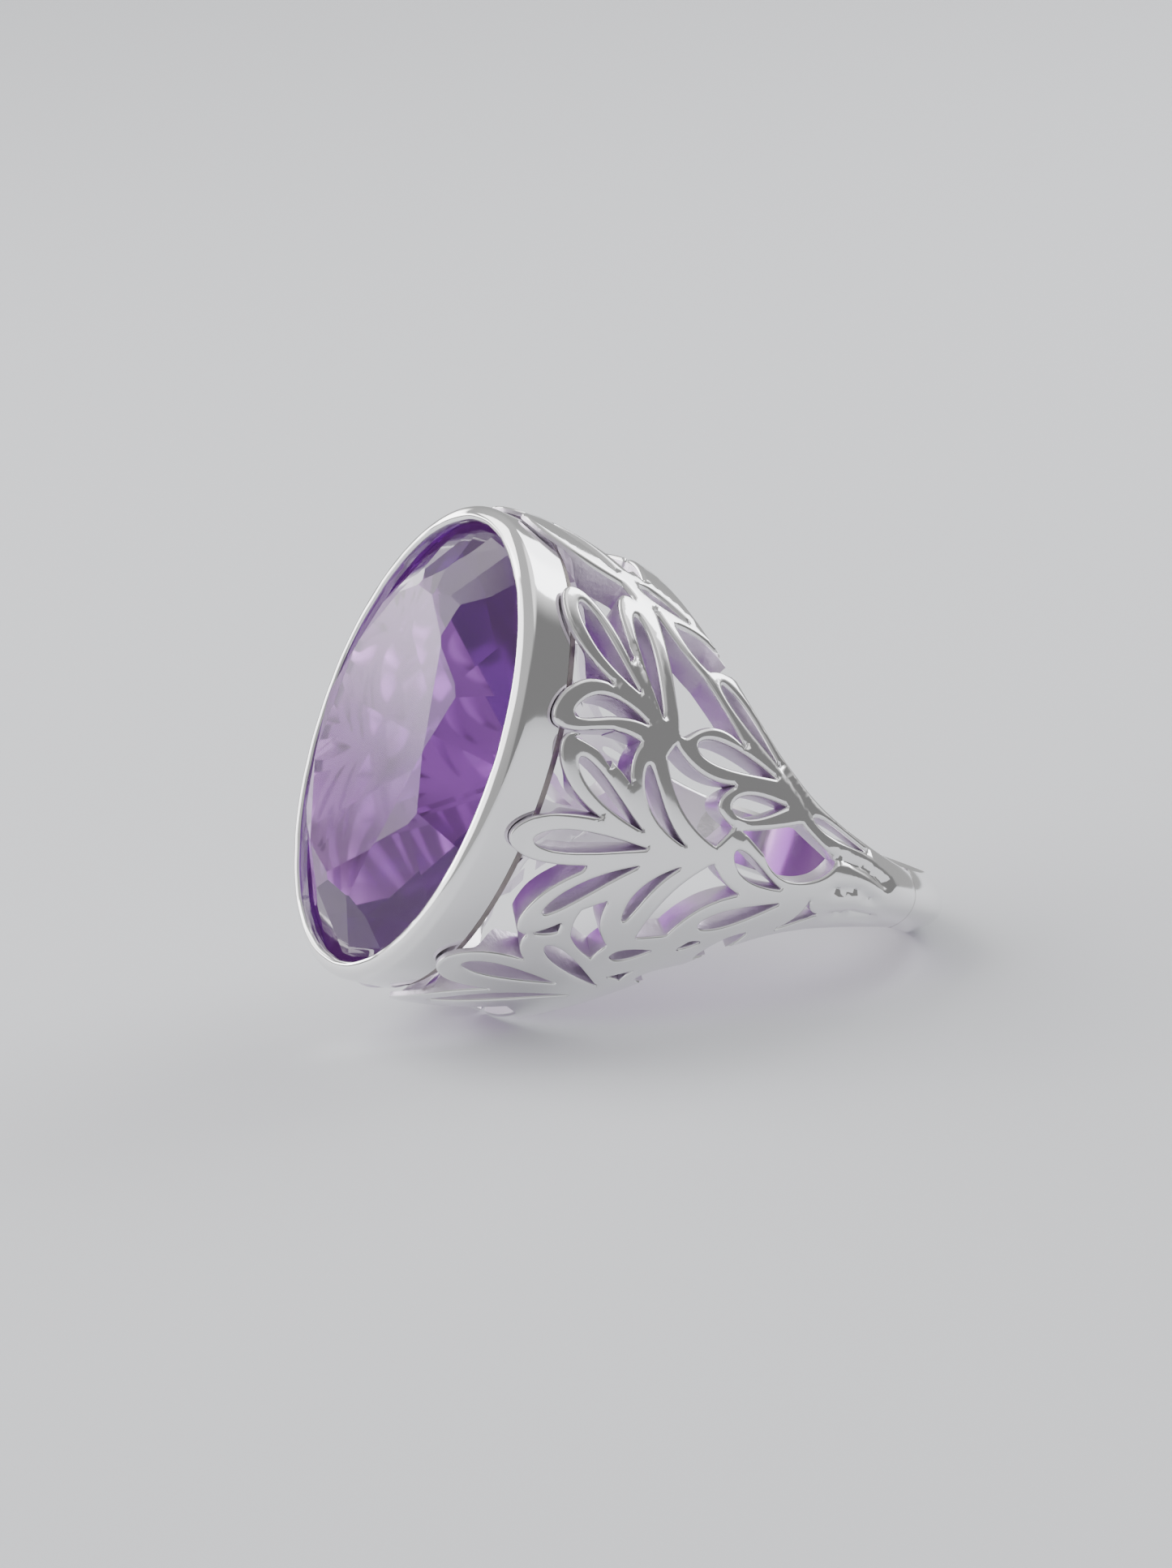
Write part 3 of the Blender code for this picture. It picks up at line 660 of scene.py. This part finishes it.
def ring_mesh(section, count, start=0.0, stop=2 * math.pi, wave=0.0):
    """A section of (a, t, u) half widths carried round an ellipse."""
    closed = abs(stop - start - 2 * math.pi) < 1e-9
    n = len(section)
    steps = count if closed else count + 1
    verts = []
    for k in range(steps):
        psi = start + (stop - start) * k / count
        sway = wave * sum(part * math.sin(n_wave * psi + shift)
                          for n_wave, shift, part in LIP_WAVES)
        for i, (a, t, u) in enumerate(section):
            s = sway if i in LIP_POINTS else 0.0
            verts.append(((t + s) * math.cos(psi), (a + s) * math.sin(psi), u - abs(s) * 0.5))
    faces = []
    for k in range(count):
        k2 = (k + 1) % steps
        for i in range(n):
            j = (i + 1) % n
            faces.append((k * n + i, k2 * n + i, k2 * n + j, k * n + j))
    if not closed:
        faces.append(tuple(range(n)))
        faces.append(tuple((steps - 1) * n + i for i in reversed(range(n))))
    return verts, faces, [0] * len(faces)


def table_reach(angle):
    """How far out the table's edge lies, as a share of the outline, by angle."""
    return TABLE_T + (TABLE_A - TABLE_T) * math.sin(math.radians(angle)) ** 4


def facet_planes():
    """Planes of every facet on the unit circle: (angle, steepness, distance) up and down."""
    up = []
    down = []
    for k, main in enumerate(MAINS):
        step = (MAINS[(k + 1) % len(MAINS)] - main) % 360
        half = math.cos(math.radians(step / 2))
        quarter = math.cos(math.radians(step / 4))
        middle = table_reach(main + step / 2)
        star = middle + STAR_W
        star_h = CROWN_H * (1 - star * half) / (1 - middle)
        lean = (star - middle * half) / (CROWN_H - star_h)
        up.append((main, (1 - table_reach(main)) / CROWN_H, 1.0))
        up.append((main + step / 2, lean, star + lean * star_h))
        low_h = PAVILION_H * (1 - LOWER_R * half)
        down.append((main, 1 / PAVILION_H, 1.0))
        for angle in (main + step / 4, main + 0.75 * step):
            up.append((angle, quarter * (1 - star) / star_h, quarter))
            down.append((angle, quarter * (1 - LOWER_R) / low_h, quarter))
    return up, down


def slice_off(bm, point, normal):
    """Cut away what lies beyond a plane and close the cut with one flat facet."""
    geom = bm.verts[:] + bm.edges[:] + bm.faces[:]
    cut = bmesh.ops.bisect_plane(bm, geom=geom, dist=CUT_EPS, plane_co=point,
                                 plane_no=normal, clear_outer=True)
    edges = [e for e in cut["geom_cut"] if isinstance(e, bmesh.types.BMEdge)]
    if len(edges) > 2:
        bmesh.ops.holes_fill(bm, edges=edges)


def stone_mesh():
    """An oval mixed cut: an elliptic blank with every facet sliced off in turn."""
    bm = bmesh.new()
    bmesh.ops.create_cone(bm, cap_ends=True, segments=GIRDLE_SIDES, radius1=1, radius2=1,
                          depth=BLANK_DEPTH)
    for v in bm.verts:
        v.co = (v.co.x * STONE_T, v.co.y * STONE_A, v.co.z + 0.5 * (GIRDLE_TOP + GIRDLE_BASE))
    slice_off(bm, (0, 0, GIRDLE_TOP + CROWN_H), (0, 0, 1))
    up, down = facet_planes()
    for planes, base, sign in ((up, GIRDLE_TOP, 1), (down, GIRDLE_BASE, -1)):
        for angle, steep, reach in planes:
            c = math.cos(math.radians(angle))
            s = math.sin(math.radians(angle))
            slice_off(bm, (reach * c * STONE_T, reach * s * STONE_A, base),
                      (c / STONE_T, s / STONE_A, sign * steep))
    bmesh.ops.remove_doubles(bm, verts=bm.verts[:], dist=MERGE_DIST)
    bmesh.ops.recalc_face_normals(bm, faces=bm.faces[:])
    verts = [tuple(v.co) for v in bm.verts]
    faces = [tuple(v.index for v in f.verts) for f in bm.faces]
    bm.free()
    return verts, faces, [0] * len(faces)


def hoop_section(inset, steps):
    """D-section of the shank: (radius, a), with the finger side flat."""
    wide = math.sqrt(R_OUT ** 2 - R_RIM ** 2) / SHANK_K
    out = []
    for k in range(-steps, steps + 1):
        a = wide * math.sin(math.radians(90 * k / steps))
        out.append((math.sqrt(R_OUT ** 2 - (SHANK_K * a) ** 2) - inset, a * (1 - inset / 2)))
    out.append((R_IN + inset, wide * (1 - SHARE_A) - inset / 2))
    out.append((R_IN + inset, -wide * (1 - SHARE_A) + inset / 2))
    return out


def hoop_mesh(u_start, u_stop, steps, inset, full, lean=0.0):
    """Shank between two level planes, or round the back to the mirrored plane."""
    section = hoop_section(inset, SECTION_STEPS)
    n = len(section)
    verts = []
    for k in range(steps + 1):
        f = k / steps
        for r, a in section:
            first = math.asin((u_start + lean * (R_OUT - r)) / r)
            last = -math.pi - first if full else math.asin(u_stop / r)
            ang = first + (last - first) * f
            verts.append((r * math.cos(ang), a, r * math.sin(ang)))
    faces = []
    for k in range(steps):
        for i in range(n):
            j = (i + 1) % n
            faces.append((k * n + i, k * n + j, (k + 1) * n + j, (k + 1) * n + i))
    faces.append(tuple(reversed(range(n))))
    faces.append(tuple(steps * n + i for i in range(n)))
    return verts, faces, [0] * len(faces)


# ---- materials -------------------------------------------------------------

GRAIN_DEPTH = 0.0001
PATCH_SCALE = 700.0


def principled(name, colour, rough):
    """A material with a Principled BSDF, and that shader."""
    mat = bpy.data.materials.new(name)
    mat.use_nodes = True
    bsdf = mat.node_tree.nodes["Principled BSDF"]
    bsdf.inputs["Base Color"].default_value = (*colour, 1.0)
    bsdf.inputs["Roughness"].default_value = rough
    return mat, bsdf


def noise_of(mat, scale, detail):
    """Procedural noise fixed to the object."""
    nodes = mat.node_tree.nodes
    noise = nodes.new("ShaderNodeTexNoise")
    noise.inputs["Scale"].default_value = scale
    noise.inputs["Detail"].default_value = detail
    coords = nodes.new("ShaderNodeTexCoord")
    mat.node_tree.links.new(coords.outputs["Object"], noise.inputs["Vector"])
    return noise.outputs["Fac"]


def metal(name, colour, rough, grain, scale, patchy=0.0):
    """White metal: an even polish with a fine, procedural surface on it."""
    mat, bsdf = principled(name, colour, rough)
    bsdf.inputs["Metallic"].default_value = 1.0
    nodes = mat.node_tree.nodes
    links = mat.node_tree.links
    bump = nodes.new("ShaderNodeBump")
    bump.inputs["Strength"].default_value = grain
    bump.inputs["Distance"].default_value = GRAIN_DEPTH
    links.new(noise_of(mat, scale, 3.0), bump.inputs["Height"])
    links.new(bump.outputs["Normal"], bsdf.inputs["Normal"])
    if patchy > 0:
        ramp = nodes.new("ShaderNodeMapRange")
        ramp.inputs["To Min"].default_value = max(0.02, rough - patchy)
        ramp.inputs["To Max"].default_value = rough + patchy
        links.new(noise_of(mat, PATCH_SCALE, 2.0), ramp.inputs["Value"])
        links.new(ramp.outputs["Result"], bsdf.inputs["Roughness"])
    return mat


def violet_quartz():
    """Clear violet stone; the faint glow stands for light that its facets return."""
    mat, bsdf = principled("amethyst", (0.80, 0.53, 0.82), 0.09)
    bsdf.inputs["IOR"].default_value = 1.54
    bsdf.inputs["Transmission Weight"].default_value = 1.0
    bsdf.inputs["Emission Color"].default_value = (0.34, 0.10, 0.42, 1.0)
    bsdf.inputs["Emission Strength"].default_value = 0.09
    soak = mat.node_tree.nodes.new("ShaderNodeVolumeAbsorption")
    soak.inputs["Color"].default_value = (0.50, 0.12, 0.66, 1.0)
    soak.inputs["Density"].default_value = 240.0
    mat.node_tree.links.new(soak.outputs["Volume"],
                            mat.node_tree.nodes["Material Output"].inputs["Volume"])
    return mat


# ---- objects ---------------------------------------------------------------

POSE = (Matrix.Translation((0, SHIFT_Y * MM, LIFT * MM))
        @ Matrix.Rotation(math.radians(90 - TILT), 4, "X")
        @ Matrix.Scale(MM, 4))


def outward(verts, faces):
    """Reverse the faces if the solid's volume comes out negative."""
    q = np.array(verts)
    total = 0.0
    for f in faces:
        for i in range(1, len(f) - 1):
            total += float(np.dot(q[f[0]], np.cross(q[f[i]], q[f[i + 1]])))
    return faces if total > 0 else [tuple(f[::-1]) for f in faces]


def place(node, solid, mats, sharp=SHARP):
    """A finer mesh that stands for one CAD node."""
    verts, faces, kinds = solid
    mesh = bpy.data.meshes.new(node + "_fine")
    mesh.from_pydata([tuple(POSE @ Vector(q)) for q in verts], [], outward(verts, faces))
    for mat in mats:
        mesh.materials.append(mat)
    mesh.polygons.foreach_set("material_index", kinds)
    mesh.update()
    mesh.shade_smooth()
    mesh.set_sharp_from_angle(angle=math.radians(sharp))
    obj = bpy.data.objects.new(node + "_fine", mesh)
    bpy.context.scene.collection.objects.link(obj)
    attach(obj, "root")
    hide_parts(node)


WHITE = (0.87, 0.865, 0.87)
polished = metal("polished_face", WHITE, 0.09, 0.012, 260.0)
# The sawn edges' colour is tinted violet: painted violet light that stands for the stone's
# colour cast on the white metal.
sawn = metal("sawn_edge_painted_violet_cast", (0.80, 0.73, 0.83), 0.42, 0.35, 2600.0)
# The inside faces are tinted slightly violet as well: painted violet light for the stone's
# colour cast on the white metal.
within = metal("inside_face_painted_violet_cast", (0.88, 0.84, 0.89), 0.28, 0.08, 1200.0)
bright = metal("collet_polish", (0.88, 0.875, 0.88), 0.07, 0.015, 220.0)
satin = metal("bearing_satin", (0.7, 0.68, 0.7), 0.3, 0.2, 1800.0)
solder = metal("solder", (0.36, 0.33, 0.31), 0.45, 0.8, 1500.0, 0.2)
joint = metal("joint_solder", (0.74, 0.73, 0.73), 0.2, 0.25, 1500.0)
hoop = metal("shank_polish", WHITE, 0.1, 0.012, 260.0)

right = shoulder_mesh()
left = mirrored(right)
shoulder_mats = [polished, sawn, within]
place("shoulder_right", right, shoulder_mats, SHARP_SHOULDER)
place("shoulder_left", left, shoulder_mats, SHARP_SHOULDER)
collet = ring_mesh(COLLET, COLLET_STEPS, wave=LIP_WAVE)
place("bezel_collet", collet, [bright])
place("bezel_bearing", ring_mesh(BEARING, RING_STEPS), [satin])
place("amethyst", stone_mesh(), [violet_quartz()], SHARP_FACET)
u_end = float(spine(P_END)[1])
shank = hoop_mesh(u_end - WELD_SPACE, 0, HOOP_STEPS, 0.0, True)
place("shank_back", shank, [hoop])
weld = hoop_mesh(u_end, u_end - WELD_THICK, WELD_STEPS, WELD_INSET, False, END_LEAN)
place("shank_solder_right", weld, [joint])
place("shank_solder_left", mirrored(weld), [joint])
span = math.radians(SEAM_ANGLE)
seam = ring_mesh(SEAM, RING_STEPS, -span, span)
place("collet_solder_right", seam, [solder])
place("collet_solder_left", mirrored(seam), [solder])


# ---- table, light and camera -----------------------------------------------

def lamp(name, size, where, watts, colour):
    """A soft rectangular lamp aimed at the ring."""
    data = bpy.data.lights.new(name, "AREA")
    data.shape = "RECTANGLE"
    data.size = size[0] * MM
    data.size_y = size[1] * MM
    data.energy = watts
    data.color = colour
    obj = bpy.data.objects.new(name, data)
    bpy.context.scene.collection.objects.link(obj)
    obj.location = Vector(where) * MM
    look = (Vector(CENTRE) - Vector(where)).to_track_quat("-Z", "Y")
    obj.rotation_euler = look.to_euler()


floor_mesh = bpy.data.meshes.new("floor")
floor_corners = [(FLOOR * x, FLOOR * y, 0) for x, y in ((-1, -1), (1, -1), (1, 1), (-1, 1))]
floor_mesh.from_pydata(floor_corners, [], [(0, 1, 2, 3)])
floor_mesh.materials.append(principled("floor", (0.76, 0.77, 0.80), 0.6)[0])
floor = bpy.data.objects.new("floor", floor_mesh)
bpy.context.scene.collection.objects.link(floor)

lamp("key", (160, 160), (-160, -90, 210), 0.3, (1.0, 0.99, 0.98))
lamp("back", (220, 120), (-60, 260, 170), 0.35, (0.95, 0.97, 1.0))

world = bpy.data.worlds.new("studio")
bpy.context.scene.world = world
world.use_nodes = True
sky = world.node_tree
toward = sky.nodes.new("ShaderNodeTexCoord").outputs["Generated"]


def ramp_of(along, start, stop):
    """Rise from 0 to 1 as a direction's share of an axis goes from start to stop."""
    dot = sky.nodes.new("ShaderNodeVectorMath")
    dot.operation = "DOT_PRODUCT"
    dot.inputs[1].default_value = Vector(along).normalized()
    sky.links.new(toward, dot.inputs[0])
    ramp = sky.nodes.new("ShaderNodeMapRange")
    ramp.interpolation_type = "SMOOTHSTEP"
    ramp.inputs["From Min"].default_value = start
    ramp.inputs["From Max"].default_value = stop
    sky.links.new(dot.outputs["Value"], ramp.inputs["Value"])
    return ramp.outputs["Result"]


def lay_over(under, colour, *ramps):
    """Lay a soft patch of light over the sky where all its ramps are high."""
    share = ramp_of(*ramps[0])
    for ramp in ramps[1:]:
        both = sky.nodes.new("ShaderNodeMath")
        both.operation = "MULTIPLY"
        sky.links.new(share, both.inputs[0])
        sky.links.new(ramp_of(*ramp), both.inputs[1])
        share = both.outputs["Value"]
    mix = sky.nodes.new("ShaderNodeMix")
    mix.data_type = "RGBA"
    sky.links.new(share, mix.inputs["Factor"])
    if isinstance(under, tuple):
        mix.inputs["A"].default_value = (*under, 1.0)
    else:
        sky.links.new(under, mix.inputs["A"])
    mix.inputs["B"].default_value = (*colour, 1.0)
    return mix.outputs["Result"]


def grey(level):
    return (level, level, level)


UP = (0, 0, 1)

# Soft boxes and a grey card on the plain pale surround: the level of each, then its
# soft edges as an axis and the shares of it where the edge starts and stops.
OVERHEAD = (1.7, ((0.2, 0.75, 0.65), 0.84, 0.93))
GREY_CARD = (0.24, ((0.81, 0.586, 0), 0.55, 0.78), (UP, 0.74, 0.52))
FRONT = (3.4, ((-0.35, -0.83, 0.43), 0.84, 0.91))
STRIP = (8.0, ((-0.9, -0.44, 0), 0.72, 0.86), (UP, 0.19, 0.22), (UP, 0.40, 0.32))

light = lay_over(grey(0.48), grey(0.65), (UP, 0.25, 0.75))
for level, *edges in (OVERHEAD, GREY_CARD, FRONT, STRIP):
    light = lay_over(light, grey(level), *edges)
sky.links.new(light, sky.nodes["Background"].inputs["Color"])

cam_data = bpy.data.cameras.new("camera")
cam_data.lens = LENS
cam_data.sensor_width = SENSOR
cam_data.clip_start = 0.01
cam_data.clip_end = 20.0
camera = bpy.data.objects.new("camera", cam_data)
bpy.context.scene.collection.objects.link(camera)
az = math.radians(AZIMUTH)
el = math.radians(ELEVATION)
away = Vector((math.sin(az) * math.cos(el), -math.cos(az) * math.cos(el), math.sin(el)))
turn = away.to_track_quat("Z", "Y").to_matrix().to_4x4()
camera.matrix_world = (Matrix.Translation((Vector(AIM) + away * DISTANCE) * MM)
                       @ turn @ Matrix.Rotation(math.radians(CAM_ROLL), 4, "Z"))
bpy.context.scene.camera = camera
